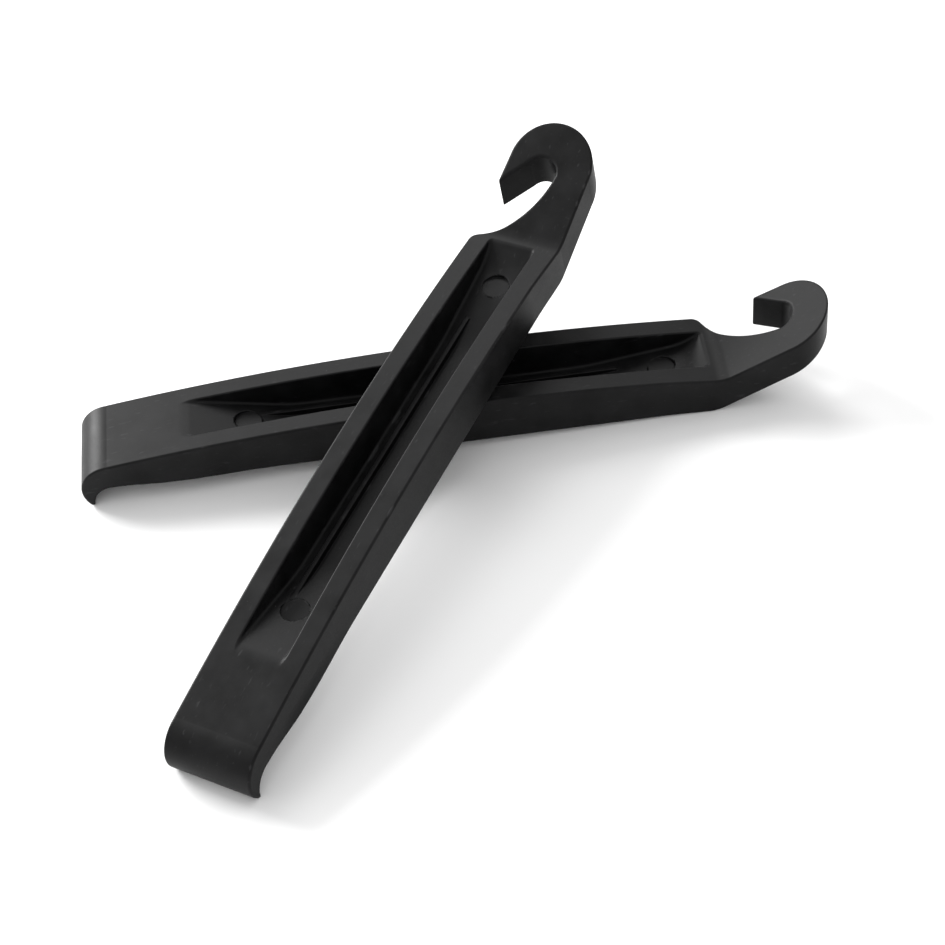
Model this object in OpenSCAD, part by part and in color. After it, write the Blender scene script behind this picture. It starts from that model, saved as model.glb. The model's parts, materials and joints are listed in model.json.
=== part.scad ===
// Pair of bicycle tyre levers, the upper one lying across the lower one.
// Both levers are the same one-piece nylon moulding.
// Lever frame: x runs from the nose to the hook, +y is the side the hook opens to,
// and z = 0 is the flat underside of the body.

/* [Body] */
// Length from the nose to the crease where the neck turns up
body_len = 98; // [95:1:104]
// Width at the nose
nose_w = 13.8; // [12.5:0.1:15]
// Width at the shoulder, next to the neck
shoulder_w = 14.2; // [13:0.1:15]
// Thickness at the crown of the arched top
crown_h = 8; // [7.4:0.1:9]
// Distance from the nose to the crown
crown_x = 59; // [54:1:64]
// Radius of the arched top, seen from the side
arch_r = 410; // [380:10:500]

/* [Lip] */
// Radius of the round bend at the nose
bend_r = 4.6; // [4.4:0.1:5]
// Radius of the hollow behind the lip
hollow_r = 3; // [2.6:0.1:3.2]
// How far the lip reaches below the underside
lip_drop = 3.3; // [3:0.1:3.6]
// Radius of the lip's lower edge
tip_r = 0.4; // [0.3:0.05:0.5]

/* [Neck and hook] */
// Upward pitch of the neck and hook, in degrees
neck_pitch = 29; // [25:0.5:32]
// Thickness of the neck and hook
neck_t = 5; // [4:0.1:5.4]
// Distance from the centre line to the back of the neck, at the crease
neck_root = 7.4; // [7.3:0.1:7.6]
// Distance from the centre line to the back of the neck, at the hook
neck_back = 8.2; // [8:0.1:8.4]
// Outer radius of the hook
hook_r = 6.9; // [6.7:0.1:7.1]
// Distance along the neck from the crease to the hook's centre
hook_s = 12.1; // [11.5:0.1:13]
// Radius at the inner end of the throat
throat_r = 2.6; // [2.5:0.05:2.7]
// Radius of the hollow edge between the shoulder and the throat
hollow_edge_r = 18; // [17.5:0.1:18.5]
// Radius of the shoulder's corner
shoulder_r = 2; // [1.5:0.1:3]

/* [Recess] */
// Distance from the nose to the start of the recess
recess_start = 16.8; // [15:0.1:18]
// Distance from the end of the recess to the crease
recess_end_gap = 1.7; // [1.2:0.1:2.5]
// Width of the recess
recess_w = 7.6; // [6.5:0.1:8.5]
// Thickness left under the recess
floor_t = 2.3; // [1.8:0.1:3]
// Thickness of the rib along the recess floor
rib_w = 0.8; // [0.6:0.1:1.2]
// Height of the rib's top above the underside
rib_top = 3.3; // [2.8:0.1:3.8]
// Distance from the centre line to the middle of the rib
rib_y = 1.6; // [0:0.1:2]
// Diameter of the two round ejector marks
mark_d = 4.2; // [3:0.1:5]

/* [Resting pose] */
// Turn of the upper lever against the lower one, seen from above
cross_angle = 56.2; // [45:0.1:65]
// Where they cross, measured along the lower lever from its nose
lower_cross = 59.8; // [50:0.1:66]
// Where they cross, measured along the upper lever from its nose
upper_cross = 77; // [66:0.1:82]
// Gap left between the two levers where one leans on the other
lever_gap = 0.3; // [0.3:0.1:0.6]

/* [Hidden] */
$fn = 96;

black_nylon = [0.11, 0.11, 0.12];
tall = 40;               // more than any size across a lever
neck_lap = 3;            // how far the neck starts inside the body

// Height of the arched top at a distance x from the nose
function arch_z(x) = crown_h - arch_r + sqrt(pow(arch_r, 2) - pow(x - crown_x, 2));

// Crease on top, and the foot of the neck, where its underside leaves the flat underside
crease_z = arch_z(body_len);
neck_foot = body_len + (neck_t / cos(neck_pitch) - crease_z) / tan(neck_pitch);

// Places on the neck's own plane: along it from the crease, and across it
hook_c = [hook_s, hook_r - neck_back];
throat_c = [hook_s - 1.5, throat_r - 2.75];
claw_tip = [hook_s - 4.1, 5.85];
claw_root = [hook_s + 0.2, 1.65];
claw_crown = [hook_s - 3.6, 6];
hollow_c = [hook_s + 2.3, hollow_edge_r - 3.1];

// Centre of the shoulder's corner, which just crosses the long side and touches the hollow edge
corner_y = shoulder_w / 2 - shoulder_r + 0.02;
corner_c = [
    hollow_c.x - sqrt(pow(hollow_edge_r + shoulder_r, 2) - pow(hollow_c.y - corner_y, 2)),
    corner_y
];
corner_end = hollow_c + (corner_c - hollow_c) * hollow_edge_r / (hollow_edge_r + shoulder_r);

// Lip, seen from the side: the round bend runs smoothly into the arched top
bend_z = crown_h - arch_r + sqrt(pow(arch_r - bend_r, 2) - pow(crown_x - bend_r, 2));
bend_top_x = crown_x - arch_r * (crown_x - bend_r) / (arch_r - bend_r);
tip_z = tip_r - lip_drop;
tip_x = bend_r - sqrt(pow(bend_r - tip_r, 2) - pow(tip_z - bend_z, 2));

// Stations along the recess, and the slope of the ramp at its nose end
recess_end = body_len - recess_end_gap;
ramp_foot = recess_start + 16.2;
ramp_slope = (arch_z(recess_start) - floor_t) / (ramp_foot - recess_start);
nose_mark_x = recess_start + 9.4;
hook_mark_x = recess_end - 6.7;

// ---- side views: x along, y up ----

// Flat underside and arched top, running on a little way inside the neck
module body_side() {
    intersection() {
        translate([crown_x, crown_h - arch_r]) circle(r = arch_r, $fn = 720);
        translate([bend_top_x, 0]) square([body_len + neck_lap - 1 - bend_top_x, tall]);
    }
}

module lip_side() {
    difference() {
        intersection() {
            translate([bend_r, bend_z]) circle(r = bend_r);
            translate([0, tip_z]) square([bend_r, tall]);
        }
        translate([bend_r, -hollow_r]) circle(r = hollow_r);
    }
    translate([tip_x, tip_z]) circle(r = tip_r);
}

// Space above the recess floor: a ramp, the flat floor, a slow rise and a steep end
module recess_side() {
    polygon([
        [recess_start - 2, arch_z(recess_start) + 2 * ramp_slope],
        [ramp_foot, floor_t],
        [recess_end - 18, floor_t],
        [recess_end - 9, floor_t + 1.1],
        [recess_end - 2.4, floor_t + 2.2],
        [recess_end + 2.4, 2 * arch_z(recess_end) - floor_t - 2.2],
        [recess_end + 2.4, tall],
        [recess_start - 2, tall]
    ]);
}

module rib_side() {
    polygon([
        [recess_start + 11, floor_t - 1],
        [recess_start + 13, rib_top],
        [recess_end - 14, rib_top],
        [recess_end - 12, floor_t - 1]
    ]);
}

// Solid of width w across the lever, from a side view
module across(w) {
    rotate([90, 0, 0]) linear_extrude(w, center = true) children();
}

// ---- views from above ----

// Slow taper, flaring at the back to meet the neck
module body_plan() {
    polygon([
        [0, nose_w / 2],
        [0, -nose_w / 2],
        [body_len - 10, -shoulder_w / 2],
        [body_len + neck_lap, 0.1 - neck_root],
        [body_len + neck_lap, shoulder_w / 2],
        [body_len - 10, shoulder_w / 2]
    ]);
}

// What the shoulder's round corner and the hollow edge take away, on the neck's plane
module hollow_plan() {
    translate(hollow_c) circle(r = hollow_edge_r);
    difference() {
        polygon([corner_c, [corner_c.x, tall], [hollow_c.x, tall], corner_end]);
        translate(corner_c) circle(r = shoulder_r);
    }
}

module neck_plan() {
    polygon([
        [-neck_lap, 0.6 - neck_root],
        [1, -neck_root],
        [hook_s, -neck_back],
        [hook_s, 0],
        [hook_s - 3, 1],
        [-neck_lap, shoulder_w / 2 - 0.4]
    ]);
}

module hook_plan() {
    wall = claw_tip - claw_root;
    difference() {
        union() {
            translate(hook_c) circle(r = hook_r);
            polygon([claw_tip, claw_crown, [hook_s, hook_c.y + hook_r], claw_root]);
        }
        translate(throat_c) circle(r = throat_r);
        polygon([
            claw_tip + wall,
            claw_root,
            [throat_c.x, throat_c.y - throat_r],
            [throat_c.x, -tall],
            [0, -tall],
            [0, claw_tip.y + wall.y]
        ]);
    }
}

// Solid with upright walls, from a view on the neck's plane
module upright() {
    translate([body_len, 0, 0])
        scale([cos(neck_pitch), 1, 1])
            linear_extrude(tall) children();
}

// Large slab parallel to the neck, from low to high above its top face
module neck_slab(low, high) {
    translate([body_len, 0, crease_z])
        rotate([0, -neck_pitch, 0])
            translate([-tall / 2, -tall / 2, low])
                cube([2 * tall, tall, high - low]);
}

// ---- one lever ----

module body_block() {
    intersection() {
        union() {
            across(tall) body_side();
            across(tall) lip_side();
        }
        translate([0, 0, -tall / 2]) linear_extrude(tall) body_plan();
    }
}

// What stands under the neck's top face, from a view on the neck's plane
module below_neck_top() {
    difference() {
        upright() children();
        neck_slab(0, tall);
    }
}

module blank() {
    difference() {
        union() {
            difference() {
                union() {
                    body_block();
                    below_neck_top() neck_plan();
                }
                translate([0, 0, -1]) upright() hollow_plan();
            }
            below_neck_top() hook_plan();
        }
        neck_slab(-tall, -neck_t);
    }
}

module recess() {
    difference() {
        across(recess_w) recess_side();
        translate([0, rib_y, 0]) across(rib_w) rib_side();
    }
}

// Round flat left on a sloping floor by an ejector pin: it fills below z and clears above it
module mark_fill(x, z) {
    translate([x, 0, floor_t - 1]) cylinder(d = mark_d, h = z - floor_t + 1);
}

module mark_clear(x, z) {
    translate([x, 0, z]) cylinder(d = mark_d, h = 2.5);
}

module tyre_lever() {
    nose_mark_z = floor_t + 1.25;
    hook_mark_z = floor_t + 1.3;
    difference() {
        union() {
            difference() {
                blank();
                recess();
            }
            mark_fill(nose_mark_x, nose_mark_z);
            mark_fill(hook_mark_x, hook_mark_z);
        }
        mark_clear(nose_mark_x, nose_mark_z);
        mark_clear(hook_mark_x, hook_mark_z);
    }
}

// ---- the two levers where they rest ----

// The lower lever stands on the edge of its lip and on the foot of its neck
lower_span = [neck_foot - tip_x, -tip_z];
lower_pitch = atan(lower_span.y / lower_span.x) + asin(tip_r / norm(lower_span));
lower_rise = neck_foot * sin(lower_pitch);

// The upper lever's underside leans on the lower one's near edge: one place on each lever
half_w = (nose_w + shoulder_w) / 4;
upper_lean = upper_cross - half_w * (1 + cos(cross_angle)) / sin(cross_angle);
lower_lean = lower_cross + (upper_lean - upper_cross) * cos(cross_angle)
    - half_w * sin(cross_angle);
lean_z = lower_rise + arch_z(lower_lean) * cos(lower_pitch)
    - lower_lean * sin(lower_pitch) + lever_gap;

// The upper lever stands on the edge of its lip
upper_span = [upper_lean - tip_x, -tip_z];
upper_pitch = asin((lean_z - tip_r) / norm(upper_span)) - atan(upper_span.y / upper_span.x);
upper_rise = tip_r - tip_z * cos(upper_pitch) + (upper_cross - tip_x) * sin(upper_pitch);

// How far back the nose reaches, and how far forward the hook's end reaches in a direction
// turned from the lever, seen from above, for a lever pitched up at the hook
function nose_reach(pitch) = bend_r - bend_r * cos(pitch) + bend_z * sin(pitch);
function hook_reach(pitch, turn) =
    (body_len * cos(pitch) - crease_z * sin(pitch) + hook_s * cos(neck_pitch + pitch)
        + max(0, neck_t / cos(neck_pitch) * sin(pitch))) * cos(turn)
    + hook_c.y * sin(turn)
    + hook_r * norm([cos(neck_pitch + pitch) * cos(turn), sin(turn)]);

// Middle of the pair, seen from above
upper_turn = 90 - cross_angle;
far_x = hook_reach(-lower_pitch, 0);
near_x = -nose_reach(-lower_pitch);
upper_back = upper_cross * cos(upper_pitch) * cos(upper_turn);
far_y = hook_reach(upper_pitch, upper_turn) - upper_back;
near_y = -upper_back - nose_reach(upper_pitch) * cos(upper_turn) - nose_w / 2 * sin(upper_turn);
middle = [(far_x + near_x) / 2, (far_y + near_y) / 2];

module lower_lever() {
    color(black_nylon)
        translate([-middle.x, -middle.y, lower_rise])
            rotate([0, lower_pitch, 0])
                tyre_lever();
}

module upper_lever() {
    color(black_nylon)
        translate([lower_cross - middle.x, -middle.y, upper_rise])
            rotate([0, -upper_pitch, cross_angle])
                translate([-upper_cross, 0, 0])
                    tyre_lever();
}

lower_lever();
upper_lever();
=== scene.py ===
"""A pair of moulded nylon tyre levers, one laid across the other, on a white studio floor.

Each lever is drawn as one rounded solid in its own frame, in millimetres: x runs from the nose
to the hook, +y is the side the hook opens to, and z = 0 is the flat underside. Its shape is a
signed distance, negative inside, so that every edge and fillet has a true radius. On the pitched
neck, s is the distance along the top face from the crease where the body's top ends.
"""

import json
import math

import bpy
import numpy as np
from mathutils import Matrix, Vector


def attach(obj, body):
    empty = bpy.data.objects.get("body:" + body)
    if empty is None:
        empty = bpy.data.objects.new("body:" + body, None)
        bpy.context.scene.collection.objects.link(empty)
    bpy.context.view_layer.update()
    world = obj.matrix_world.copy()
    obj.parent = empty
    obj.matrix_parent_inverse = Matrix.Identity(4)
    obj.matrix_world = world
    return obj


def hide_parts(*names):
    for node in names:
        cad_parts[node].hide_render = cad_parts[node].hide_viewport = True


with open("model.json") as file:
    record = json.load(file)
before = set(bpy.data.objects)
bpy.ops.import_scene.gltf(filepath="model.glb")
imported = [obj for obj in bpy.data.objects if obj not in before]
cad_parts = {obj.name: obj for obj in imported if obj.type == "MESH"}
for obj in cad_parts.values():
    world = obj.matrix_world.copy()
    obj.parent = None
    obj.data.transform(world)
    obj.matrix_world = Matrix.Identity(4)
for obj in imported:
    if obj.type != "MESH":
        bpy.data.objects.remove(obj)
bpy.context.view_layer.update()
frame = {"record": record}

MM = 0.001

# ---- sizes of one lever, in millimetres ----

# Body
BODY_LEN = 98.0
NOSE_W, SHOULDER_W = 13.8, 14.2
CROWN_X, CROWN_H = 59.0, 8.0
ARCH_R = 410.0
UNDERSIDE_X = 50.0  # where the record's mount on the underside lies

# Lip: a round bend at the nose, and a hollow behind it
BEND_R, HOLLOW_R = 4.6, 3.0
LIP_DROP = 3.3
LIP_EDGE_R = 0.38

# Flare at the foot of the sides, which grows from nothing at the first x to its full width at
# the second, both from the nose and from the middle of the body
FLARE, FLARE_H = 0.45, 2.4  # how far it stands out, and how high it reaches
FLARE_FROM_NOSE, FLARE_FROM_BODY = (6.0, 14.0), (30.0, 16.0)

# Neck and hook, whose walls stand upright on the body; a place on them is (s, y)
NECK_PITCH = math.radians(29)
NECK_T = 5.0
NECK_ROOT, NECK_BACK = 7.4, 8.2  # from the centre line to the back, at the crease and at the hook
NECK_BLEND = 10.0  # the last stretch of the body, where its back runs out to the neck's
HOOK_S, HOOK_R = 12.1, 6.9
THROAT, THROAT_R = (10.6, -0.15), 2.6
HOLLOW_EDGE, HOLLOW_EDGE_R = (14.4, 14.9), 18.0
SHOULDER_R = 2.0

# Claw: its inner wall from tip to root, its outer edge, and the corner between the two
CLAW_TIP, CLAW_ROOT = (8.0, 5.85), (12.36, 1.72)
CLAW_EDGE_START, CLAW_EDGE_END = (8.4, 6.05), (12.96, 5.54)
CLAW_CORNER_R = 0.3

# Recess: a ramp down from the nose, a flat floor, a slow rise and a steep end
RECESS_START, RECESS_END = 16.8, 96.3
RECESS_W = 7.6
FLOOR_T = 2.3
RAMP_FOOT = (33.0, FLOOR_T)
RISE_FOOT = (RECESS_END - 18, FLOOR_T)
RISE_HIGHER = (RECESS_END - 6, FLOOR_T + 1.6)
STEEP_FOOT = (RECESS_END - 2.4, FLOOR_T + 2.2)
STEEP_OVER_CREASE = 0.12  # the steep end's top lies at RECESS_END, this far above the crease

# Thin rib on the recess floor
RIB_Y, RIB_W = 1.6, 0.7
RIB_TOP, RIB_END = 3.3, 83.0

# Round ejector marks, each as its place along the lever and the height of its face
MARKS = ((26.2, 3.55), (89.6, 3.6))
MARK_D = 4.2
MARK_ROOT_Z = 1.0  # where the disc under each face starts, inside the lever

# Radii of the edges and of the corners between faces
EDGE_R = 0.35
RECESS_RIM_R, RECESS_FILLET_R = 0.25, 0.5
RIB_EDGE_R, RIB_FILLET_R = 0.12, 0.15
MARK_EDGE_R, MARK_RIM_R = 0.12, 0.08

# Softening where two faces meet at a shallow angle
CREASE_SOFT = 0.7  # at the crease on top, and at the foot of the neck below
RAMP_SOFT, RISE_SOFT, STEEP_SOFT = 0.6, 0.4, 1.2

# Worked out: the crease, the foot of the neck, the middles of the shoulder's corner and of the
# hook, and the height of the middle of the bend
CREASE_Z = CROWN_H - ARCH_R + math.sqrt(ARCH_R**2 - (BODY_LEN - CROWN_X) ** 2)
NECK_FOOT = BODY_LEN + (NECK_T / math.cos(NECK_PITCH) - CREASE_Z) / math.tan(NECK_PITCH)
SHOULDER_Y = SHOULDER_W / 2 - SHOULDER_R
SHOULDER = (
    HOLLOW_EDGE[0] - math.sqrt((HOLLOW_EDGE_R + SHOULDER_R) ** 2 - (HOLLOW_EDGE[1] - SHOULDER_Y) ** 2),
    SHOULDER_Y,
)
HOOK = (HOOK_S, HOOK_R - NECK_BACK)
BEND_Z = CROWN_H - ARCH_R + math.sqrt((ARCH_R - BEND_R) ** 2 - (CROWN_X - BEND_R) ** 2)


# ---- distances ----


def round_and(a, b, r):
    """The part inside both a and b, with the edge between them rounded to radius r."""
    return np.minimum(np.maximum(a, b), -r) + np.hypot(np.maximum(a + r, 0), np.maximum(b + r, 0))


def bend_and(a, b, k):
    """The part inside both a and b where they meet at a shallow angle, softened over k."""
    return np.maximum(a, b) + np.maximum(k - np.abs(a - b), 0) ** 2 / (4 * k)


def bend_or(a, b, k):
    """The part inside a or b where they meet at a shallow angle, softened over k."""
    return -bend_and(-a, -b, k)


def circle(u, v, middle, r):
    """Signed distance to a circle of radius r."""
    return np.hypot(u - middle[0], v - middle[1]) - r


def above_line(u, v, start, end):
    """Signed distance to the half-plane above the line from start to end, with end to the right."""
    run, rise = end[0] - start[0], end[1] - start[1]
    return ((u - start[0]) * rise - (v - start[1]) * run) / math.hypot(run, rise)


def ease(t, start, end):
    """From 0 at start to 1 at end, with no kink at either."""
    share = np.clip((t - start) / (end - start), 0, 1)
    return share * share * (3 - 2 * share)


def arch_z(x):
    """Height of the body's arched top."""
    return CROWN_H - ARCH_R + np.sqrt(ARCH_R**2 - (x - CROWN_X) ** 2)


def half_width(x):
    """Half the body's width, which grows slowly from the nose to the shoulder."""
    return (NOSE_W + (SHOULDER_W - NOSE_W) * np.clip(x / (BODY_LEN - NECK_BLEND), 0, 1)) / 2


def on_neck(x, z):
    """The place s along the neck's top face straight above or below, and the height above that face."""
    c, s = math.cos(NECK_PITCH), math.sin(NECK_PITCH)
    along = (x - BODY_LEN) / c
    above = (z - CREASE_Z) * c - (x - BODY_LEN) * s
    return along, above


def side_view(x, z, above):
    """The lever seen from the side: lip, arched body and pitched neck."""
    arch = circle(x, z, (CROWN_X, CROWN_H - ARCH_R), ARCH_R)
    top = bend_or(arch, above, CREASE_SOFT)
    under = bend_and(-z, -(above + NECK_T), CREASE_SOFT)
    bend = circle(x, z, (BEND_R, BEND_Z), BEND_R)
    hollow = circle(x, z, (BEND_R, -HOLLOW_R), HOLLOW_R)
    lip = round_and(np.maximum(bend, -hollow), -LIP_DROP - z, LIP_EDGE_R)
    return np.where(x < BEND_R, lip, np.maximum(top, under))


def hook_outline(s, y):
    """The hook seen on the neck's top face: a round end and a claw, less the throat."""
    off_wall = above_line(s, y, CLAW_TIP, CLAW_ROOT)
    edge = -above_line(s, y, CLAW_EDGE_START, CLAW_EDGE_END)
    claw = np.maximum(round_and(off_wall, edge, CLAW_CORNER_R), s - CLAW_EDGE_END[0])
    mouth = np.maximum(-off_wall, above_line(s, y, THROAT, CLAW_ROOT))
    mouth = np.where(y < THROAT[1], s - THROAT[0], mouth)
    space = np.minimum(circle(s, y, THROAT, THROAT_R), mouth)
    return np.maximum(np.minimum(circle(s, y, HOOK, HOOK_R), claw), -space)


def outline(x, y, z, s):
    """The lever seen from above, with the neck and hook drawn along their top face."""
    flare = FLARE * ease(x, *FLARE_FROM_NOSE) * ease(x, *FLARE_FROM_BODY)
    flare = flare * np.clip(1 - z / FLARE_H, 0, 1) ** 2
    side = half_width(x) + flare
    back = side + (NECK_ROOT - SHOULDER_W / 2) * ease(x, BODY_LEN - NECK_BLEND, BODY_LEN)
    back = back + (NECK_BACK - NECK_ROOT) * np.clip(s / HOOK_S, 0, 1)
    hollow_edge = -circle(s, y, HOLLOW_EDGE, HOLLOW_EDGE_R)
    corner = circle(s, y, SHOULDER, SHOULDER_R)
    before_edge = above_line(s, y, SHOULDER, HOLLOW_EDGE) < 0
    front = np.where((s > SHOULDER[0]) & before_edge, corner, np.maximum(y - side, hollow_edge))
    neck = np.maximum(front, -y - back)
    return np.minimum(np.maximum(neck, s - HOOK_S), hook_outline(s, y))


def recess(x, y, z):
    """The space above the recess floor, less the thin rib that stands on it."""
    ramp = above_line(x, z, (RECESS_START, arch_z(RECESS_START)), RAMP_FOOT)
    rise = above_line(x, z, RISE_FOOT, RISE_HIGHER)
    steep_end = above_line(x, z, STEEP_FOOT, (RECESS_END, CREASE_Z + STEEP_OVER_CREASE))
    floor = bend_and(ramp, FLOOR_T - z, RAMP_SOFT)
    floor = bend_and(floor, rise, RISE_SOFT)
    floor = bend_and(floor, steep_end, STEEP_SOFT)
    space = round_and(floor, np.abs(y) - RECESS_W / 2, RECESS_FILLET_R)
    rib = round_and(np.abs(y - RIB_Y) - RIB_W / 2, z - RIB_TOP, RIB_EDGE_R)
    return round_and(space, -np.maximum(rib, x - RIB_END), RIB_FILLET_R)


def lever(x, y, z):
    """Signed distance to one whole lever."""
    s, above = on_neck(x, z)
    solid = round_and(side_view(x, z, above), outline(x, y, z, s), EDGE_R)
    solid = round_and(solid, -recess(x, y, z), RECESS_RIM_R)
    for mark_x, mark_z in MARKS:
        disc = circle(x, y, (mark_x, 0), MARK_D / 2)
        solid = round_and(solid, -np.maximum(disc, mark_z - z), MARK_RIM_R)
        face = round_and(disc, z - mark_z, MARK_EDGE_R)
        solid = np.minimum(solid, np.maximum(face, MARK_ROOT_Z - z))
    return solid


# ---- mesh ----

CLOSEST = 0.03  # stations nearer to each other than this become one

# How the vertices are brought onto the surface: in how many moves, how long a move may be, the
# least squared slope it allows for, and the steps over which slopes and normals are measured
MOVES, LONGEST_MOVE, LEAST_STEEP = 3, 0.1, 0.25
SLOPE_STEP, NORMAL_STEP = 0.01, 0.03


def graded(start, *stretches):
    """Stations from start on: each stretch gives the place where it ends and its spacing."""
    stations = [start]
    for end, step in stretches:
        count = max(1, round((end - stations[-1]) / step))
        stations += list(np.linspace(stations[-1], end, count + 1)[1:])
    return np.array(stations)


def circle_rise(r, off):
    """Height of a circle's edge over its middle, at a distance off to one side of it."""
    return np.sqrt(np.maximum(r**2 - off**2, 0))


def grid():
    """Grid points whose layers follow the underside and the top of the lever.

    They lie closest at the lip, at the ejector marks, at the rib, along the edges and on the neck.
    """
    lip = ((0.4, 0.1), (7, 0.2), (12, 0.4))
    nose_mark = ((23.8, 0.5), (28.6, 0.2))
    hook_mark = ((87.2, 0.5), (96.8, 0.22))
    neck = ((116, 0.25),)
    x = graded(-0.5, *lip, *nose_mark, *hook_mark, *neck)

    half = graded(0, (3.5, 0.22), (4.1, 0.1), (6.4, 0.24), (8.4, 0.12))
    rib = graded(1.15, (2.05, 0.06))
    y = np.sort(np.concatenate([-half[:0:-1], half, rib]))
    y = y[np.concatenate([[True], np.diff(y) > CLOSEST])]

    # Shares of the lever's thickness, from just below the underside to just above the top
    layers = graded(-0.09, (0.09, 0.015), (0.91, 0.04), (1.09, 0.015))

    nose_off = BEND_R - np.clip(x, 0, BEND_R)
    slope = math.tan(NECK_PITCH)
    top = np.where(x < BEND_R, BEND_Z + circle_rise(BEND_R, nose_off), arch_z(x))
    top = np.where(x > BODY_LEN, CREASE_Z + (x - BODY_LEN) * slope, top)
    low = np.where(x < BEND_R, -HOLLOW_R + circle_rise(HOLLOW_R, nose_off), 0)
    low = np.where(x < BEND_R - HOLLOW_R, -LIP_DROP, low)
    low = np.where(x > NECK_FOOT, (x - NECK_FOOT) * slope, low)

    gx, gy, gt = np.meshgrid(x, y, layers, indexing="ij")
    gz = low[:, None, None] + gt * (top - low)[:, None, None]
    return np.stack([gx, gy, gz], -1)


def surface_nets(points, inside_of):
    """Vertices and outward quads of the surface where a distance on a grid is zero.

    A cell that the surface passes through gets one vertex, the mean of the places where the
    surface cuts the cell's edges. Each cut edge gets one quad, between the four cells round it.
    """
    value = inside_of(points[..., 0], points[..., 1], points[..., 2])
    cells = tuple(n - 1 for n in value.shape)
    total = np.zeros(cells + (3,))
    hits = np.zeros(cells)
    crossings = []
    for axis in range(3):
        # Edges along this axis that the surface cuts, apart from those on the grid's outside
        near = [slice(None)] * 3
        far = [slice(None)] * 3
        near[axis] = slice(None, -1)
        far[axis] = slice(1, None)
        cut = np.argwhere((value[tuple(near)] < 0) != (value[tuple(far)] < 0))
        others = [a for a in range(3) if a != axis]
        inner = np.ones(len(cut), bool)
        for a in others:
            inner &= (cut[:, a] > 0) & (cut[:, a] < value.shape[a] - 1)
        cut = cut[inner]
        beyond = cut.copy()
        beyond[:, axis] += 1

        # Where each edge is cut, added to the four cells round it
        v0, v1 = value[tuple(cut.T)], value[tuple(beyond.T)]
        share = (v0 / (v0 - v1))[:, None]
        where = points[tuple(cut.T)] * (1 - share) + points[tuple(beyond.T)] * share
        ring = []
        for da, db in ((-1, -1), (0, -1), (0, 0), (-1, 0)):
            cell = cut.copy()
            cell[:, others[0]] += da
            cell[:, others[1]] += db
            np.add.at(total, tuple(cell.T), where)
            np.add.at(hits, tuple(cell.T), 1)
            ring.append(cell)
        # The ring runs the other way round the y axis, because x and z are then in that order
        outward = (v0 < 0) != (axis == 1)
        crossings.append((ring, outward))

    used = hits > 0
    number = np.full(cells, -1)
    number[used] = np.arange(used.sum())
    vertices = total[used] / hits[used][:, None]
    quads = []
    for ring, outward in crossings:
        corners = np.stack([number[tuple(cell.T)] for cell in ring], -1)
        quads += [corners[outward], corners[~outward][:, ::-1]]
    return vertices, np.concatenate(quads)


def slope_of(field, points, step):
    """The direction in which a distance grows fastest at each point, with its rate as the length."""
    slopes = []
    for axis in range(3):
        shift = np.zeros(3)
        shift[axis] = step
        ahead, behind = points + shift, points - shift
        slopes.append(field(*ahead.T) - field(*behind.T))
    return np.stack(slopes, -1) / (2 * step)


def lever_surface():
    """Vertices, normals and quads of one lever, in its own frame."""
    vertices, quads = surface_nets(grid(), lever)
    for _ in range(MOVES):
        slope = slope_of(lever, vertices, SLOPE_STEP)
        steepness = np.maximum((slope**2).sum(1), LEAST_STEEP)
        move = np.clip(lever(*vertices.T) / steepness, -LONGEST_MOVE, LONGEST_MOVE)
        vertices = vertices - move[:, None] * slope
    normals = slope_of(lever, vertices, NORMAL_STEP)
    normals /= np.linalg.norm(normals, axis=1, keepdims=True)
    return vertices, normals, quads


def lever_object(name, surface, place):
    """One lever laid at its place, keeping each vertex's place on the moulding as an attribute."""
    vertices, normals, quads = surface
    turn = np.array(place.to_3x3())
    laid = vertices * MM @ turn.T + np.array(place.translation)
    mesh = bpy.data.meshes.new(name)
    mesh.from_pydata(laid.tolist(), [], quads.tolist())
    mesh.shade_smooth()
    mesh.normals_split_custom_set_from_vertices((normals @ turn.T).tolist())
    on_moulding = mesh.attributes.new("on_moulding", "FLOAT_VECTOR", "POINT")
    on_moulding.data.foreach_set("vector", vertices.ravel())
    piece = bpy.data.objects.new(name, mesh)
    bpy.context.scene.collection.objects.link(piece)
    return piece


def lever_place(record, name):
    """Where a lever lies, read from the record's mounts on its underside and its lip."""
    mounts = {m["name"]: m for m in record["mounts"]}
    underside, lip = mounts[name + "_underside"], mounts[name + "_bead_lip"]
    up = -Vector(underside["axis"]).normalized()
    middle = Vector(underside["pos_m"])
    along = middle - Vector(lip["pos_m"])
    along = (along - along.dot(up) * up).normalized()
    across = up.cross(along)
    turn = Matrix((along, across, up)).transposed().to_4x4()
    origin = middle - along * UNDERSIDE_X * MM
    return Matrix.Translation(origin) @ turn


# ---- material ----

# Colours of clean nylon and of nylon that is scuffed, worn or dusty
CLEAN_NYLON = (0.0025, 0.0025, 0.0026, 1)
WORN_NYLON = (0.05, 0.05, 0.052, 1)
SPECULAR = 0.13
SEED_STEP = 7.3  # sets the noise on one lever apart from the noise on the other
MOST_NOISE = (0.3, 0.7)  # the range that most values of a noise lie in
SCUFF_SHADE, WEAR_SHADE = 0.3, 0.3
SCUFF_ROUGHNESS = 0.1
GRAIN_HEIGHT, BUMP_STRENGTH, BUMP_DEPTH = 0.35, 0.35, 0.02


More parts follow.
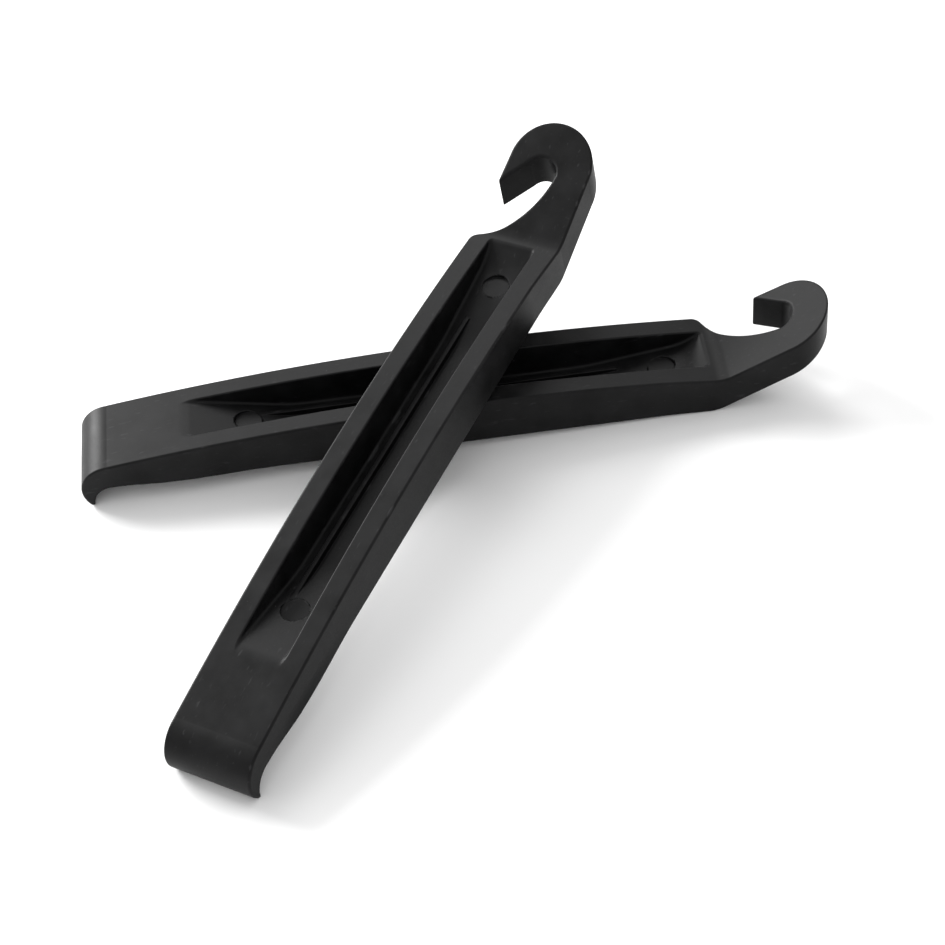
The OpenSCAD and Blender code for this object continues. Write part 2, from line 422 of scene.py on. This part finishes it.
def nylon(name, seed):
    """Black moulded nylon: satin, with a fine grain, faint flow marks, scuffs and specks of dust."""
    material = bpy.data.materials.new(name)
    material.use_nodes = True
    nodes, links = material.node_tree.nodes, material.node_tree.links
    shader = nodes["Principled BSDF"]
    shader.inputs["Specular IOR Level"].default_value = SPECULAR
    attribute = nodes.new("ShaderNodeAttribute")
    attribute.attribute_name = "on_moulding"
    place = attribute.outputs["Vector"]

    def noise(scale, detail, stretch=(1, 1, 1), offset=0.0):
        """Noise fixed to the moulding, with scale features to a millimetre."""
        mapping = nodes.new("ShaderNodeMapping")
        mapping.inputs["Scale"].default_value = [scale * s for s in stretch]
        links.new(place, mapping.inputs["Vector"])
        texture = nodes.new("ShaderNodeTexNoise")
        texture.noise_dimensions = "4D"
        texture.inputs["W"].default_value = seed * SEED_STEP + offset
        texture.inputs["Scale"].default_value = 1.0
        texture.inputs["Detail"].default_value = detail
        links.new(mapping.outputs[0], texture.inputs["Vector"])
        return texture.outputs["Fac"]

    def fit(value, given, wanted):
        """A value carried from one range to another, and held at the ends."""
        node = nodes.new("ShaderNodeMapRange")
        node.inputs["From Min"].default_value, node.inputs["From Max"].default_value = given
        node.inputs["To Min"].default_value, node.inputs["To Max"].default_value = wanted
        links.new(value, node.inputs["Value"])
        return node.outputs["Result"]

    def maths(operation, a, b):
        """A sum or product of two values, each a socket or a number."""
        node = nodes.new("ShaderNodeMath")
        node.operation = operation
        for socket, value in zip(node.inputs, (a, b)):
            if isinstance(value, (int, float)):
                socket.default_value = value
            else:
                links.new(value, socket)
        return node.outputs[0]

    grain = noise(scale=5.0, detail=3.0)
    mottle = noise(scale=0.25, detail=4.0, offset=3.0)
    flow = noise(scale=0.9, detail=3.0, stretch=(0.08, 1, 1), offset=5.0)
    scuffs = noise(scale=2.2, detail=5.0, stretch=(0.25, 1, 1), offset=9.0)
    scuffs = fit(scuffs, (0.62, 0.74), (0.0, 1.0))
    specks = fit(noise(scale=3.0, detail=1.0, offset=13.0), (0.78, 0.84), (0.0, 1.0))
    pointiness = nodes.new("ShaderNodeNewGeometry").outputs["Pointiness"]
    worn_edges = fit(pointiness, (0.52, 0.62), (0.0, 1.0))

    tone = nodes.new("ShaderNodeMix")
    tone.data_type = "RGBA"
    tone.inputs["A"].default_value = CLEAN_NYLON
    tone.inputs["B"].default_value = WORN_NYLON
    shade = maths("ADD", fit(mottle, MOST_NOISE, (0.0, 0.12)), maths("MULTIPLY", scuffs, SCUFF_SHADE))
    shade = maths("ADD", shade, maths("MULTIPLY", worn_edges, WEAR_SHADE))
    shade = maths("ADD", shade, specks)
    links.new(shade, tone.inputs["Factor"])
    links.new(tone.outputs["Result"], shader.inputs["Base Color"])

    rough = maths("ADD", fit(mottle, MOST_NOISE, (0.4, 0.5)), maths("MULTIPLY", scuffs, SCUFF_ROUGHNESS))
    rough = maths("ADD", rough, fit(grain, MOST_NOISE, (-0.04, 0.04)))
    links.new(rough, shader.inputs["Roughness"])

    height = maths("ADD", maths("MULTIPLY", grain, GRAIN_HEIGHT), flow)
    bump = nodes.new("ShaderNodeBump")
    bump.inputs["Strength"].default_value = BUMP_STRENGTH
    bump.inputs["Distance"].default_value = BUMP_DEPTH * MM
    links.new(height, bump.inputs["Height"])
    links.new(bump.outputs["Normal"], shader.inputs["Normal"])
    return material


# ---- studio: a white floor and sky, two softboxes and the camera ----

FLOOR_REACH = 3.0  # in metres, like the places below
FLOOR_WHITE, FLOOR_ROUGHNESS = (0.92, 0.92, 0.92, 1), 0.9
SKY_WHITE, SKY_STRENGTH = (1, 1, 1, 1), 0.9

# Where the camera looks, from how far in metres, and how it is turned, in radians
CAMERA_TARGET = Vector((0.0012, 0.0061, 0))
CAMERA_DISTANCE = 0.3536
CAMERA_DIP, CAMERA_TURN = math.radians(46.0), math.radians(0.16)
CAMERA_ROLL = math.radians(-8.77)
SENSOR_W, LENS = 36, 89.6  # in millimetres


def stage_floor():
    """The wide white floor that the levers lie on."""
    mesh = bpy.data.meshes.new("floor")
    corners = [(x * FLOOR_REACH, y * FLOOR_REACH, 0) for x, y in ((-1, -1), (1, -1), (1, 1), (-1, 1))]
    mesh.from_pydata(corners, [], [(0, 1, 2, 3)])
    floor = bpy.data.objects.new("floor", mesh)
    material = bpy.data.materials.new("floor_white")
    material.use_nodes = True
    shader = material.node_tree.nodes["Principled BSDF"]
    shader.inputs["Base Color"].default_value = FLOOR_WHITE
    shader.inputs["Roughness"].default_value = FLOOR_ROUGHNESS
    mesh.materials.append(material)
    bpy.context.scene.collection.objects.link(floor)


def area_light(name, place, size, watts):
    """A square softbox that faces the origin."""
    lamp = bpy.data.lights.new(name, "AREA")
    lamp.size = size
    lamp.energy = watts
    light = bpy.data.objects.new(name, lamp)
    light.location = place
    light.rotation_euler = (-Vector(place)).to_track_quat("-Z", "Y").to_euler()
    bpy.context.scene.collection.objects.link(light)


def white_sky():
    """Even white light from all round, shown with no tone mapping."""
    world = bpy.data.worlds.new("studio")
    world.use_nodes = True
    background = world.node_tree.nodes["Background"]
    background.inputs["Color"].default_value = SKY_WHITE
    background.inputs["Strength"].default_value = SKY_STRENGTH
    bpy.context.scene.world = world
    bpy.context.scene.view_settings.view_transform = "Standard"


def make_camera():
    """A long lens that looks down at the pair from about 0.35 m, rolled by nearly 9 degrees."""
    data = bpy.data.cameras.new("camera")
    data.sensor_width = SENSOR_W
    data.lens = LENS
    camera = bpy.data.objects.new("camera", data)
    level = math.cos(CAMERA_DIP)
    look = Vector((math.sin(CAMERA_TURN) * level, math.cos(CAMERA_TURN) * level, -math.sin(CAMERA_DIP)))
    camera.location = CAMERA_TARGET - look * CAMERA_DISTANCE
    facing = look.to_track_quat("-Z", "Y").to_matrix().to_4x4()
    roll = Matrix.Rotation(CAMERA_ROLL, 4, "Z")
    camera.matrix_world = Matrix.Translation(camera.location) @ facing @ roll
    bpy.context.scene.collection.objects.link(camera)
    bpy.context.scene.camera = camera


# ---- the levers on their stage ----

surface = lever_surface()
for name, seed in (("lower", 1.0), ("upper", 2.0)):
    place = lever_place(frame["record"], name)
    piece = lever_object(name + "_lever_moulding", surface, place)
    piece.data.materials.append(nylon(name + "_nylon", seed))
    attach(piece, name + "_lever")
    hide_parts(name + "_lever")

stage_floor()
area_light("left_softbox", place=(-0.38, 0.36, 0.26), size=0.28, watts=5)
area_light("back_softbox", place=(0.0, 0.5, 0.45), size=0.3, watts=1.2)
white_sky()
make_camera()
